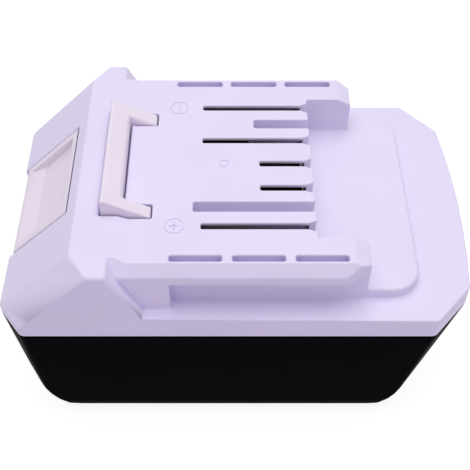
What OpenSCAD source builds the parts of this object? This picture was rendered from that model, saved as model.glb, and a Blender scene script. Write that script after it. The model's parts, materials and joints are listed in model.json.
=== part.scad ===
// Slide-on battery pack of a power tool: ten cells in a black tray, under a pale cover
// that carries the slide rails, the contact slots and a sprung release latch.
// Millimetres. Origin in the middle of the underside. X along the rails, latch end at -X,
// Y across the pack, front at -Y, Z up.

/* [Cells] */
// Diameter of a cell in its sleeve
cell_d = 18.2; // [17.6:0.1:19]
// Length of a cell over its cap
cell_length = 65; // [64:0.5:67]
// Web of the holder between neighbouring cells
bore_web = 0.15; // [0.1:0.05:1]
// Least space between the end cells and the tray
cell_play = 0.35; // [0.3:0.05:1]
// Length of each cell holder along the cells
holder_depth = 22; // [20:0.5:28]
// Holder wall under the lower cells
holder_skin = 0.8; // [0.6:0.1:1.6]
// Holder wall over the upper cells
holder_roof = 0.4; // [0.4:0.1:0.8]
// Lip of the holder in front of each cell end
holder_lip = 1; // [0.8:0.1:1.4]
// Thickness of the nickel links
link_t = 0.2; // [0.15:0.05:0.3]
// Thickness of the insulating sheets
sheet_t = 0.25; // [0.2:0.05:0.4]

/* [Case] */
// Wall of tray and cover
wall = 2.2; // [1.8:0.1:2.6]
// Floor of the tray
floor_t = 2; // [1.8:0.1:2.6]
// Space between the insulating sheet and the foot of the side wall
sheet_gap = 0.15; // [0.1:0.05:1]
// Space between the cell holder and the deck of the cover
head_room = 0.3; // [0.3:0.1:1]
// Height of the flange of the cover over the parting line
flange_height = 6.3; // [5.6:0.1:7]
// Corner chamfer across the pack at the latch end
corner_y_latch = 7.5; // [6:0.1:9]
// Corner chamfer along the pack at the latch end
corner_x_latch = 5.7; // [5:0.1:8]
// Corner chamfer across the pack at the rear end
corner_y_rear = 10; // [8:0.1:11]
// Corner chamfer along the pack at the rear end
corner_x_rear = 8.8; // [7:0.1:10]
// Narrowing of the corner chamfers along the pack towards the floor
corner_fade = 1.5; // [0.4:0.1:2]
// Bow of the rear end
end_bow = 1.7; // [0.5:0.1:2.2]
// Rounding of the upright corner edges
corner_r = 2; // [1:0.1:3]
// Inward slope of the tray at the latch end
taper_latch = 4.7; // [3:0.1:6]
// Inward slope of the tray at the rear end
taper_rear = 8.9; // [6:0.1:11]
// Inward slope of the tray sides
taper_side = 1.2; // [0.6:0.1:2]
// Lower rounding of the tray at the latch end
latch_end_r = 13.6; // [8:0.1:16]
// Lower rounding of the tray at the rear end
rear_end_r = 11; // [8:0.5:14]
// Lower rounding of the tray sides
side_r = 5.5; // [4:0.1:7]
// Height of the tongue between tray and cover
tongue_height = 1.6; // [1.2:0.1:2]
// Width of the four snap arms that hold the case together
snap_w = 6; // [4:0.5:7]
// Bite of the snap arms in the tray wall
snap_bite = 1.1; // [0.9:0.05:1.3]
// Depth of the finger notch in the tray under the button
finger_notch = 2.8; // [2.6:0.1:4]

/* [Slide rails] */
// Height of the pad on the deck
pad_height = 3.1; // [2.6:0.1:3.6]
// Rear end of the pad, from the rear end of the case
pad_setback = 14; // [12:0.1:16]
// Corner radius of the pad
pad_r = 7; // [3:0.1:8]
// Width over the necks of the rails
neck_width = 61.4; // [60.5:0.1:62]
// Width over the lips of the rails
rail_width = 68.4; // [67.4:0.1:69]
// Width over the rails at their top
rail_top_width = 63.8; // [63:0.1:65]
// Height of the rails over the deck
rail_height = 14.4; // [14:0.1:15]
// Height of the lip underside over the deck
lip_under = 9.2; // [8.6:0.1:9.8]
// Height of the upright edge of the lip
lip_edge = 2.4; // [1.8:0.1:2.8]
// Rear end of the rails, from the rear end of the case
rail_setback = 27; // [25:0.1:29]
// Clear width between the rails behind the contact platform
bay_width = 48; // [46:0.1:49]
// Length of the sloped rail top at the rear
rail_ease_run = 3.7; // [3:0.1:5]
// Drop of the sloped rail top at the rear
rail_ease_drop = 1.9; // [1:0.1:2.4]
// Length of the lead-in of the lips
lead_run = 5.7; // [4:0.1:7]
// Depth of the lead-in of the lips
lead_depth = 3.2; // [2:0.1:3.4]
// Rear end of the stop blocks, from the latch end of the case
stop_end = 41.5; // [40:0.1:43]
// Width of the pockets in the rail tops
pocket_w = 1.8; // [1.4:0.1:2]
// Length of the pockets in the rail tops
pocket_length = 12; // [10:0.1:12.6]
// Web between the pockets
pocket_web = 2.4; // [1.8:0.1:3]
// Depth of the pockets
pocket_depth = 3; // [2:0.1:4]

/* [Contact platform] */
// Thickness of the platform round the contact slots
slot_roof = 1.2; // [1:0.1:2]
// End of the platform, from the rear end of the case
platform_setback = 38.5; // [37:0.1:40]
// Width of the contact slots
slot_w = 1.8; // [1.6:0.1:2.2]
// Length of the long slots
slot_long = 27.6; // [26:0.1:28.4]
// Length of the short slots
slot_short = 13.4; // [12.6:0.1:14]
// Distance of the power slots from the middle
power_y = 20.7; // [20.2:0.1:21.2]
// Distance of the outer signal slots from the middle
signal_y = 8.3; // [7.6:0.1:8.8]
// Distance of the key grooves from the middle
key_y = 14.5; // [14:0.1:15]
// Width of the key grooves
key_w = 3.1; // [2.6:0.1:3.4]
// Depth of the key grooves
key_depth = 5; // [4:0.1:5.4]
// Length of the front key groove
key_front = 29.5; // [28:0.1:30.4]
// Length of the rear key groove
key_rear = 14.5; // [13:0.1:16]
// Length of the flared slot mouths
mouth_run = 2.4; // [1.6:0.1:3]
// Width of the flared slot mouths
mouth_w = 3.8; // [2.8:0.1:4]

/* [Latch tower] */
// Upright band at the latch end, over the parting line
end_band = 2.8; // [2.2:0.1:3.4]
// Height of the tower over the rails
tower_step = 1; // [0.6:0.1:1.6]
// Length of the tower's flat top
tower_top = 8.8; // [8.4:0.1:9.6]
// Run of the tower's rear slope
tower_back = 7.6; // [6.5:0.1:8.5]
// Edge rounding of the tower
tower_r = 1.2; // [0.8:0.1:1.8]
// Setback of the tower corner along the pack
tower_corner_x = 4.2; // [3:0.1:5]
// Setback of the tower corner across the pack
tower_corner_y = 6.8; // [5.6:0.1:7.6]
// Start of the ramp from tower to platform, behind the tower's top edge
ramp_start = 1.2; // [0.6:0.1:2]
// Run of the ramp from tower to platform
ramp_run = 2.8; // [2:0.1:5]

/* [Release latch] */
// Travel of the latch
latch_travel = 5; // [4:0.1:5.2]
// Clearance round the latch in the cover
latch_gap = 0.35; // [0.3:0.05:0.5]
// Width of the button
button_w = 29.5; // [27:0.1:30.5]
// Top edge of the button, from the edge of the tower
button_top = 2.7; // [2:0.1:3.4]
// Lip of the button, from the latch end of the case
button_lip = 1.1; // [0.8:0.1:1.6]
// Width of the finger pocket
finger_w = 25; // [22:0.1:26]
// Depth of the finger pocket, upright
finger_depth = 2.3; // [1.6:0.1:2.8]
// Thickness of the button
button_t = 4.5; // [4:0.1:5]
// Locking face of the hook, from the edge of the tower
hook_start = 6.2; // [5.4:0.1:6.8]
// Length of the hook along the pack
hook_length = 11.6; // [11:0.1:12.6]
// Thickness of the hook bar
hook_bar = 4.9; // [4.4:0.1:6]
// Width of the hook
hook_w = 36; // [34:0.1:37]
// Width of each hook arm
hook_arm = 3.9; // [3.4:0.1:4.4]
// Height of the hook over the tower
hook_rise = 4.6; // [4:0.1:4.8]
// Thickness of the latch plate
plate_t = 2.5; // [2:0.1:3]
// Height of the spring seats over the holders
spring_seat = 1; // [0.6:0.1:1.6]
// Outer diameter of the springs
spring_d = 6.4; // [5.8:0.1:6.8]
// Wire of the springs
spring_wire = 0.7; // [0.5:0.05:0.8]
// Turns of the springs
spring_turns = 6; // [5:1:6]

/* [Board and contacts] */
// Thickness of the board
board_t = 1.6; // [1:0.1:2]
// Height of the board over the holders
board_rise = 2.9; // [2.6:0.1:3.2]
// Thickness of the contact metal
contact_t = 0.6; // [0.4:0.05:0.7]
// Height of the contacts over the board
contact_height = 9.4; // [8.4:0.1:9.6]
// Length of the long contacts
contact_long = 11; // [9:0.1:16]
// Length of the short contacts
contact_short = 10; // [8:0.1:10.6]
// Shank diameter of the board screws
board_screw_d = 1.9; // [1.7:0.1:2.1]

/* [Hidden] */
// One node name, or all of them

// Facets of a full circle, taken as a true circle
round_fn = 48;
// Facets of the spheres blended into the tower
blend_fn = 24;
// Thickness of the slices that are blended into a form
slice_t = 0.01;
// Overlap that joins the pieces of one moulding
lap = 0.4;
// Distance by which a cut passes a face
past = 1;

// Cells and holders
cell_r = cell_d / 2;
bore_play = 0.05;
bore_r = cell_r + bore_play;
cell_pitch = 2 * bore_r + bore_web;
holder_r = bore_r + holder_skin;
lower_z = floor_t + holder_r;
upper_z = lower_z + cell_pitch;
holder_top = upper_z + bore_r + holder_roof;
cell_end = cell_length / 2;
lip_play = 0.05;
holder_end = cell_end + lip_play + holder_lip;
link_end = holder_end + link_t;
sheet_end = link_end + sheet_t;
window_r = 7.2;
link_half = 4;
dimple_r = 3;
// Thinning of the holder wall round the end cells, which leaves room for the tray's lower roundings
end_thin = 0.3;
// Slim end frame of each holder, which leaves room for the tray's lower corners
frame_length = 7;
frame_skin = 0.8;
frame_r = window_r + frame_skin;
// Columns of two cells, each pair side by side in the circuit
columns = 5;
row_length = (columns - 1) * cell_pitch + cell_d;

// Case
half_w = sheet_end + sheet_gap + taper_side + wall;
z_deck = holder_top + head_room + wall;
z_split = z_deck - flange_height;
tongue_t = 1;
tongue_play = 0.15;
tray_steps = 8;
corner_steps = 3;
// Shrinkage of a chamfer leg for each unit of inset
leg_shrink = 2 - sqrt(2);
// Narrowing of the chamfers inside the tray, which thins its wall at the corners
corner_relief = 0.8;
// Sharpening of the roundings inside the tray, which thins its wall at the lower edges
edge_relief = 1.6;
// Room from the end cells to the ends of the case
latch_room = cell_play + end_need(taper_latch, latch_end_r, corner_x_latch, corner_y_latch);
rear_room = cell_play + end_bow + end_need(taper_rear, rear_end_r, corner_x_rear, corner_y_rear);
case_length = latch_room + row_length + rear_room;
half_l = case_length / 2;
cells_x = (latch_room - rear_room) / 2;
column_x = [for (i = [0:columns - 1]) cells_x + (i - (columns - 1) / 2) * cell_pitch];
cell_spots = [for (x = column_x) for (z = [lower_z, upper_z]) [x, z]];
// Snap arms
snap_t = 1.5;
snap_y = 23;
snap_drop = 7;
snap_rise = 1.6;
snap_play = 0.25;
snap_latch_x = -half_l + wall + 1.6;
snap_rear_x = half_l - end_bow - wall - 1.8;
z_snap = z_split - snap_drop + 2.4;

// Slide rails and platform
z_pad = z_deck + pad_height;
z_lip = z_deck + lip_under;
z_bevel = z_lip + lip_edge;
z_rail = z_deck + rail_height;
neck_y = neck_width / 2;
rail_y = rail_width / 2;
rail_top_y = rail_top_width / 2;
bay_y = bay_width / 2;
pad_end = half_l - pad_setback;
rail_end = half_l - rail_setback;
platform_end = half_l - platform_setback;
stop_x = stop_end - half_l;
inner_y = neck_y - wall;
slot_floor = z_pad + 1;
key_skin = 1.5;
pocket_y = (neck_y + rail_top_y) / 2 - pocket_w / 2;
pocket_start = stop_x;

// Tower
z_tower = z_rail + tower_step;
z_slope = z_split + end_band;
tower_x0 = -half_l + z_tower - z_slope;
tower_x1 = tower_x0 + tower_top;
tower_side = 0.4;
tower_half = half_w - tower_side;
tower_left_y = tower_half - tower_corner_y;
tower_foot = tower_x1 + tower_back;
stop_start = tower_x1 + tower_back * (z_tower - z_lip) / (z_tower - z_deck) - lap;
deck_share = (z_deck - z_slope) / (z_tower - z_slope);
corner_left_y = half_w - corner_y_latch;

// Latch
hook_x0 = tower_x0 + hook_start;
hook_x1 = hook_x0 + hook_length;
hook_bar_x = hook_x0 + hook_bar;
hook_y = hook_w / 2;
hook_in_y = hook_y - hook_arm;
z_hook = z_tower + hook_rise;
hook_tip_drop = 0.2;
button_y = button_w / 2;
button_x = tower_x0 - button_top;
lip_x = -half_l + button_lip;
lip_stand = 0.3;
lip_height = 1.4;
skirt_t = 1.5;
skirt_x = lip_x + 3.3;
skirt_depth = 8;
slope_run = sqrt(2);
plate_y = hook_y + 2;
plate_end = hook_x1 + 1.5;
plate_stop = 0.3;
z_plate = z_rail - wall - plate_stop;
z_plate_low = z_plate - plate_t;
z_lip_button = slope_z(lip_x) + lip_stand;
spring_x = hook_x0 - 0.5;
spring_y = 16;
spring_mean = (spring_d - spring_wire) / 2;
post_r = spring_d / 2 + 0.4;
pin_r = spring_mean - spring_wire / 2 - 0.6;
pin_length = 2.4;
z_post = holder_top + spring_seat;
guide_t = 1.5;

// Parts on the board
chip_size = 7;
chip_t = 1.1;
chip_y = 1;
pin_count = 6;
pin_pitch = 1;
pin_w = 0.4;
pin_t = 0.3;
pin_out = 0.8;
transistor_l = 6.6;
transistor_w = 6.1;
transistor_t = 2.1;
transistor_y = 11;
tab_inset = 0.6;
tab_out = 1.1;
lead_w = 0.8;
lead_inset = 0.8;
lead_out = 2.4;
lead_t = 0.5;
shunt_l = 3.2;
shunt_w = 6.4;
shunt_t = 0.8;
shunt_y = -7.5;
bead_r = 1.1;
bead_gap = 0.05;
bead_lead_r = 0.25;
bead_lead_y = 0.6;
part_gap = 2;
part_edge = 1.7;

// Board and contacts
board_play = 1;
board_end = 1.5;
carrier_side = 2.3;
carrier_play = 0.3;
leg_start = 0.3;
leg_end = 1.5;
leg_play = 0.2;
leg_drop = 0.8;
pinch_share = 0.72;
head_share = 0.85;
head_t = 1.2;
thread_length = 4;
roof_margin = 1.2;
z_board = holder_top + board_rise;
z_board_top = z_board + board_t;
board_y = inner_y - board_play;
board_x1 = platform_end - wall - board_end;
board_post_r = 2.4;
board_post_y = board_y - board_post_r - 0.1;
carrier_t = 1.5;
carrier_y = power_y + carrier_side;
fork_rear = 1;
fork_pinch = 0.35;
fork_mouth = 0.9;
fork_y = fork_rear + contact_t;
fork_play = 0.15;
long_x = platform_end - slot_long;
short_x = platform_end - slot_short;
parts_x = long_x - part_gap - chip_size / 2 - pin_out;
board_x0 = parts_x - chip_size / 2 - pin_out - part_edge;
contact_inset = 1;
// Contacts: distance from the middle, start and length
negative_spot = [power_y, long_x + contact_inset, contact_long];
charge_spot = [signal_y, long_x + contact_inset, contact_long];
signal_1_spot = [0, short_x + contact_inset, contact_short];
signal_2_spot = [-signal_y, short_x + contact_inset, contact_short];
positive_spot = [-power_y, long_x + contact_inset, contact_long];
contact_spots = [negative_spot, charge_spot, signal_1_spot, signal_2_spot, positive_spot];
// Slots over the contacts: distance from the middle and length
slot_spots = [
    [power_y, slot_long],
    [signal_y, slot_long],
    [0, slot_short],
    [-signal_y, slot_short],
    [-power_y, slot_long]
];
screw_play = 0.05;
screw_head_r = board_screw_d * head_share;

board_screw_spots = [
    [cells_x - cell_pitch / 2, -board_post_y],
    [cells_x - cell_pitch / 2, board_post_y],
    [cells_x + cell_pitch / 2, -board_post_y],
    [cells_x + cell_pitch / 2, board_post_y]
];

// Colours
pale = [0.88, 0.86, 0.95];
rosy = [0.93, 0.89, 0.93];
black = [0.06, 0.06, 0.08];
nickel = [0.75, 0.74, 0.70];
copper = [0.80, 0.62, 0.35];
steel = [0.62, 0.63, 0.65];
paper = [0.85, 0.83, 0.76];
sleeve = [0.20, 0.48, 0.52];
holder_grey = [0.30, 0.31, 0.33];
board_green = [0.08, 0.32, 0.18];

// Height of the tower's slope over a place along the pack
function slope_z(x) = z_slope + x + half_l;

// Corner of a polygon as an arc of radius r in n steps
function arc_corner(a, p, b, r, n) =
    r == 0 ? [p] :
    let (u = (a - p) / norm(a - p))
    let (v = (b - p) / norm(b - p))
    let (half = acos(u * v) / 2)
    let (c = p + (u + v) / norm(u + v) * r / sin(half))
    let (s = p + u * r / tan(half))
    let (start = atan2(s.y - c.y, s.x - c.x))
    let (sweep = (180 - 2 * half) * sign(cross(p - a, b - p)))
    [for (k = [0:n]) c + r * [cos(start + sweep * k / n), sin(start + sweep * k / n)]];

// Polygon with the corners rounded by the radii in list r
function rounded(p, r, n) =
    let (m = len(p))
    [for (i = [0:m - 1]) each arc_corner(p[(i + m - 1) % m], p[i], p[(i + 1) % m], r[i], n)];

// Inset of a lower rounding of radius r at the height h over its start
function round_in(h, r) = h >= r ? 0 : r - sqrt(r * r - (r - h) * (r - h));

// Room that one end of the tray takes beyond a lower cell, the largest over the cell's lower half:
// wall, taper and rounding, and what the corner chamfer takes at the end of the cell
function end_need(taper, r, leg_x, leg_y) =
    max([
        for (a = [0:10:90])
            let (z = lower_z - cell_r * sin(a))
            let (h = z - floor_t)
            let (share = 1 - z / z_split)
            let (side = wall + taper_side * share + round_in(h, side_r - wall - edge_relief))
            let (cx = leg_x - leg_shrink * wall - corner_relief - corner_fade * share)
            let (cy = leg_y - leg_shrink * wall)
            let (chamfer = max(0, cx * (1 - (half_w - side - cell_end) / cy)))
            wall + taper * share + round_in(h, r - wall - edge_relief) + chamfer - cell_r * (1 - cos(a))
    ]);

// Plan of the case, set in by l at the latch end, by e at the rear end and by s at the sides,
// with the chamfer legs of a wall set in by t and narrowed by f along the pack
function case_plan(l, e, s, t, f) =
    let (x0 = -half_l + l)
    let (x1 = half_l - end_bow - e)
    let (y1 = half_w - s)
    let (c0 = corner_x_latch - leg_shrink * t - f)
    let (c1 = corner_x_rear - leg_shrink * t - f)
    let (y_latch = y1 - corner_y_latch + leg_shrink * t)
    let (y_rear = y1 - corner_y_rear + leg_shrink * t)
    let (r = max(corner_r - t, 0.4))
    let (bow = [for (k = [-2:2]) [x1 + end_bow * (1 - k * k / 9), y_rear * k / 3]])
    rounded(
        concat(
            [[x0, -y_latch], [x0 + c0, -y1], [x1 - c1, -y1], [x1, -y_rear]],
            bow,
            [[x1, y_rear], [x1 - c1, y1], [x0 + c0, y1], [x0, y_latch]]
        ),
        [r, r, r, r, 0, 0, 0, 0, 0, r, r, r, r],
        corner_steps
    );

// Plan of the cover, set in by t all round
function cover_plan(t) = case_plan(t, t, t, t, 0);

// Plan slice of the tapered tray at the height h over z0, set in by t, with the share k of the relief
module tray_slice(h, t, k, z0) {
    share = 1 - (z0 + h) / z_split;
    u = t + k * edge_relief;
    l = t + taper_latch * share + round_in(h, latch_end_r - u);
    e = t + taper_rear * share + round_in(h, rear_end_r - u);
    s = t + taper_side * share + round_in(h, side_r - u);
    translate([0, 0, z0 + h])
        linear_extrude(slice_t)
            polygon(case_plan(l, e, s, t, corner_fade * share + k * corner_relief));
}

// Tapered tray form with rounded lower edges, set in by t, from z0 to z1
module tray_form(t, k, z0, z1) {
    r = latch_end_r - t - k * edge_relief;
    hull() {
        for (i = [0:tray_steps])
            tray_slice(r * (1 - cos(90 * i / tray_steps)), t, k, z0);
        tray_slice(z1 - slice_t - z0, t, k, z0);
    }
}

// Profile in X and Z drawn out over the width w about the middle
module across(w) {
    translate([0, w / 2, 0])
        rotate([90, 0, 0])
            linear_extrude(w)
                children();
}

// Box between two heights over a plan rectangle
module block(x0, x1, y0, y1, z0, z1) {
    translate([x0, y0, z0])
        cube([x1 - x0, y1 - y0, z1 - z0]);
}

// Both sides of the pack
module both_sides() {
    children();
    mirror([0, 1, 0])
        children();
}

// Tray

module tongue() {
    translate([0, 0, z_split - lap])
        linear_extrude(tongue_height + lap)
            difference() {
                t0 = wall - tongue_t;
                polygon(cover_plan(t0));
                polygon(cover_plan(wall));
            }
}

// Snap noses at both ends, grown by g for their recesses
module snap_noses(g) {
    z0 = z_snap - snap_rise - 2 * g;
    z1 = z_snap + g;
    bite = snap_bite + g;
    both_sides()
        translate([0, snap_y, 0])
            across(snap_w + 2 * g) {
                polygon([
                    [snap_latch_x + lap, z0],
                    [snap_latch_x, z0],
                    [snap_latch_x - bite, z1 - snap_rise / 2],
                    [snap_latch_x - bite, z1],
                    [snap_latch_x + lap, z1]
                ]);
                polygon([
                    [snap_rear_x - lap, z0],
                    [snap_rear_x, z0],
                    [snap_rear_x + bite, z1 - snap_rise / 2],
                    [snap_rear_x + bite, z1],
                    [snap_rear_x - lap, z1]
                ]);
            }
}

module lower_case() {
    notch_y = button_y + latch_gap + 0.3;
    color(black)
        difference() {
            union() {
                difference() {
                    tray_form(0, 0, 0, z_split);
                    tray_form(wall, 1, floor_t, z_split + past);
                }
                tongue();
            }
            snap_noses(snap_play);
            block(-half_l - past, skirt_x + skirt_t, -notch_y, notch_y, z_split - finger_notch, z_deck);
        }
}

// Cover

module flange_form() {
    x0 = -half_l + z_deck - z_slope;
    y0 = corner_left_y + (tower_left_y - corner_left_y) * deck_share;
    x1 = -half_l + corner_x_latch + (tower_x0 + tower_corner_x + half_l - corner_x_latch) * deck_share;
    translate([0, 0, z_split])
        linear_extrude(flange_height)
            intersection() {
                polygon(cover_plan(0));
                translate([-lap, -half_w])
                    square([case_length, 2 * half_w]);
            }
    hull() {
        translate([0, 0, z_split])
            linear_extrude(end_band)
                intersection() {
                    polygon(cover_plan(0));
                    translate([-half_l, -half_w])
                        square([half_l, 2 * half_w]);
                }
        translate([0, 0, z_deck - slice_t])
            linear_extrude(slice_t)
                polygon([[x0, -y0], [x1, -half_w], [0, -half_w], [0, half_w], [x1, half_w], [x0, y0]]);
    }
}

module tower_form() {
    x0 = -half_l + z_deck - z_slope;
    y0 = corner_left_y + (tower_left_y - corner_left_y) * deck_share;
    x1 = -half_l + corner_x_latch + (tower_x0 + tower_corner_x + half_l - corner_x_latch) * deck_share;
    y1 = half_w;
    r = tower_r;
    rest = [
        [tower_x0 + 0.41 * r, tower_left_y - 0.2 * r],
        [tower_x0 + tower_corner_x + 0.3 * r, tower_half - r],
        [tower_x1 - 0.75 * r, tower_half - r]
    ];
    hull() {
        translate([0, 0, z_deck - lap])
            linear_extrude(lap)
                polygon([[x0, -y0], [x1, -y1], [tower_foot, -y1], [tower_foot, y1], [x1, y1], [x0, y0]]);
        both_sides()
            for (p = rest)
                translate([p.x, p.y, z_tower - r])
                    sphere(r = r, $fn = blend_fn);
    }
}

module pad_form(t) {
    x0 = tower_x1;
    x1 = pad_end - t;
    y1 = neck_y - t;
    r = pad_r - t;
    translate([0, 0, z_deck - lap])
        linear_extrude(pad_height + lap - t) {
            translate([x0, -y1])
                square([x1 - r - x0, 2 * y1]);
            translate([x0, -y1 + r])
                square([x1 - x0, 2 * (y1 - r)]);
            for (y = [-y1 + r, y1 - r])
                translate([x1 - r, y])
                    circle(r = r, $fn = round_fn);
        }
}

module platform_form() {
    across(2 * neck_y)
        polygon([
            [tower_x1 - tower_r, z_deck],
            [platform_end, z_deck],
            [platform_end, z_rail],
            [tower_x1 - tower_r, z_rail]
        ]);
}

// Ramp from the tower's top to the platform, with the rails' outer slopes carried on up its ends
module ramp_form() {
    lean = (rail_y - rail_top_y) / (z_rail - z_bevel);
    foot_y = rail_top_y + lean * lap;
    top_y = rail_top_y - lean * tower_step;
    intersection() {
        across(2 * foot_y)
            polygon([
                [tower_x1 - tower_r, z_rail - lap],
                [tower_x1 + ramp_start + ramp_run, z_rail - lap],
                [tower_x1 + ramp_start + ramp_run, z_rail],
                [tower_x1 + ramp_start, z_tower],
                [tower_x1 - tower_r, z_tower]
            ]);
        along(tower_x1 - tower_r, tower_x1 + ramp_start + ramp_run)
            polygon([[-foot_y, z_rail - lap], [foot_y, z_rail - lap], [top_y, z_tower], [-top_y, z_tower]]);
    }
}

module rail_section(foot) {
    polygon([
        [bay_y, z_pad - lap],
        [neck_y, z_pad - lap],
        [neck_y, foot],
        [rail_y, foot],
        [rail_y, z_bevel],
        [rail_top_y, z_rail],
        [bay_y, z_rail]
    ]);
}

module along(x0, x1) {
    translate([x0, 0, 0])
        rotate([90, 0, 90])
            linear_extrude(x1 - x0)
                children();
}

module rail_form() {
    difference() {
        union() {
            along(tower_x1, rail_end)
                rail_section(z_lip);
            along(stop_start, stop_x)
                polygon([
                    [bay_y, z_deck - lap],
                    [rail_y, z_deck - lap],
                    [rail_y, z_bevel],
                    [rail_top_y, z_rail],
                    [bay_y, z_rail]
                ]);
        }
        across(2 * half_w)
            polygon([
                [rail_end - rail_ease_run, z_rail],
                [rail_end + past, z_rail - rail_ease_drop * (1 + past / rail_ease_run)],
                [rail_end + past, z_rail + past],
                [rail_end - rail_ease_run, z_rail + past]
            ]);
        translate([0, 0, z_lip - past])
            linear_extrude(z_rail - z_lip + 2 * past)
                polygon([
                    [rail_end - lead_run, rail_y],
                    [rail_end + past, rail_y - lead_depth * (1 + past / lead_run)],
                    [rail_end + past, rail_y + past],
                    [rail_end - lead_run, rail_y + past]
                ]);
    }
}

module cover_cavity() {
    w = wall;
    t0 = w - tongue_t - tongue_play;
    foot_in = tower_foot - w;
    difference() {
        translate([0, 0, z_split - past])
            linear_extrude(z_deck - w - z_split + past)
                polygon(cover_plan(w));
        block(-half_l, tower_x0, -half_w, half_w, z_split - 2 * past, z_deck + past);
    }
    translate([0, 0, z_split - past])
        linear_extrude(past + tongue_height + tongue_play)
            polygon(cover_plan(t0));
    hull() {
        translate([0, 0, z_split - past])
            linear_extrude(end_band - 0.4 * w + past)
                intersection() {
                    polygon(cover_plan(w));
                    translate([-half_l, -half_w])
                        square([half_l + foot_in, 2 * half_w]);
                }
        translate([0, 0, z_tower - w - slice_t])
            linear_extrude(slice_t)
                both_sides()
                    polygon([
                        [tower_x0 + 0.42 * w, 0],
                        [tower_x0 + 0.42 * w, tower_left_y - w],
                        [tower_x0 + tower_corner_x + 0.42 * w, tower_half - w],
                        [tower_x1 - 0.5 * w, tower_half - w],
                        [tower_x1 - 0.5 * w, 0]
                    ]);
    }
    for (s = slot_spots)
        block(
            platform_end - s[1] - roof_margin,
            platform_end - w,
            s[0] - slot_w / 2 - roof_margin,
            s[0] + slot_w / 2 + roof_margin,
            z_rail - w - lap,
            z_rail - slot_roof
        );
    pad_form(wall);
    block(tower_x1 - w, pad_end - pad_r, -inner_y, inner_y, z_deck - 2 * w, z_deck);
    block(tower_x1 - w, platform_end - w, -inner_y, inner_y, z_deck - w, z_rail - w);
}

module snap_arms() {
    y0 = snap_y - snap_w / 2;
    y1 = snap_y + snap_w / 2;
    z0 = z_split - snap_drop;
    both_sides() {
        block(snap_latch_x, snap_latch_x + snap_t, y0, y1, z0, slope_z(snap_latch_x) - 1);
        block(snap_rear_x - snap_t, snap_rear_x, y0, y1, z0, z_deck - lap);
    }
    snap_noses(0);
}

module key_trough(y, length) {
    block(
        platform_end - length - key_skin,
        platform_end - lap,
        y - key_w / 2 - key_skin,
        y + key_w / 2 + key_skin,
        z_rail - key_depth - key_skin,
        z_rail - lap
    );
}

module key_groove(y, length) {
    block(
        platform_end - length,
        platform_end + past,
        y - key_w / 2,
        y + key_w / 2,
        z_rail - key_depth,
        z_rail + past
    );
}

module contact_slot(y, length) {
    translate([platform_end, y, slot_floor])
        linear_extrude(z_rail - slot_floor + past)
            polygon([
                [-length, -slot_w / 2],
                [-mouth_run, -slot_w / 2],
                [0, -mouth_w / 2],
                [past, -mouth_w / 2],
                [past, mouth_w / 2],
                [0, mouth_w / 2],
                [-mouth_run, slot_w / 2],
                [-length, slot_w / 2]
            ]);
}

module rail_pockets() {
    both_sides()
        for (k = [0:2])
            translate([
                pocket_start + k * (pocket_length + pocket_web),
                pocket_y - pocket_w / 2,
                z_rail - pocket_depth
            ])
                cube([pocket_length, pocket_w, pocket_depth + past]);
}

module latch_guides() {
    y = plate_y + latch_gap;
    both_sides()
        block(hook_x0 - 3, hook_x0 + 2, y, y + guide_t, z_deck, z_tower - wall + lap);
}

module hook_opening() {
    g = latch_gap;
    difference() {
        block(hook_x0 - g, hook_x1 + g, -hook_y - g, hook_y + g, z_plate - past, z_hook);
        block(
            hook_bar_x + g,
            hook_x1 + past,
            -hook_in_y + g,
            hook_in_y - g,
            z_plate - 2 * past,
            z_hook + past
        );
    }
}

module upper_case() {
    button_cut = button_y + latch_gap;
    color(pale)
        difference() {
            union() {
                difference() {
                    union() {
                        flange_form();
                        tower_form();
                        pad_form(0);
                        difference() {
                            platform_form();
                            block(platform_end - lap, rail_end, -bay_y, bay_y, z_pad, z_rail + past);
                        }
                        ramp_form();
                        both_sides()
                            rail_form();
                    }
                    cover_cavity();
                }
                snap_arms();
                key_trough(-key_y, key_front);
                key_trough(key_y, key_rear);
                latch_guides();
            }
            key_groove(-key_y, key_front);
            key_groove(key_y, key_rear);
            for (s = slot_spots)
                contact_slot(s[0], s[1]);
            rail_pockets();
            hook_opening();
            block(-half_l - past, button_x + latch_gap, -button_cut, button_cut, z_split - past, z_tower);
        }
}

// Release latch

module button_form() {
    back = button_t * slope_run;
    under = wall * slope_run + latch_gap * slope_run;
    pocket_x = skirt_x + 2.2;
    difference() {
        across(2 * button_y)
            polygon([
                [button_x, slope_z(button_x)],
                [lip_x, slope_z(lip_x)],
                [lip_x, z_lip_button - lip_height],
                [skirt_x, z_lip_button - lip_height],
                [skirt_x, z_lip_button - skirt_depth],
                [skirt_x + skirt_t, z_lip_button - skirt_depth],
                [skirt_x + skirt_t, slope_z(skirt_x + skirt_t - back)],
                [z_plate_low - z_slope - half_l + back, z_plate_low],
                [z_plate - z_slope - half_l + under + lap, z_plate_low],
                [z_plate - z_slope - half_l + under + lap, z_plate],
                [z_plate - z_slope - half_l + under, z_plate],
                [button_x, slope_z(button_x) - under]
            ]);
        across(finger_w)
            polygon([
                [button_x - 1.2, slope_z(button_x - 1.2)],
                [button_x - 1.7, slope_z(button_x - 1.7) - finger_depth],
                [pocket_x, slope_z(pocket_x) - finger_depth],
                [lip_x - past, z_lip_button - 0.3],
                [lip_x - past, slope_z(button_x)]
            ]);
    }
}

module hook_form() {
    ease = 0.8;
    ramp = (z_hook - z_rail + hook_tip_drop) / hook_length;
    difference() {
        across(hook_w)
            polygon([
                [hook_x0, z_plate - lap],
                [hook_x1, z_plate - lap],
                [hook_x1, z_rail - hook_tip_drop],
                [hook_x0 + ease, z_hook - ramp * ease],
                [hook_x0 + ease / 3, z_hook - ease / 2],
                [hook_x0, z_hook - ease * 1.2]
            ]);
        block(hook_bar_x, hook_x1 + past, -hook_in_y, hook_in_y, z_plate, z_hook);
    }
}

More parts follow.
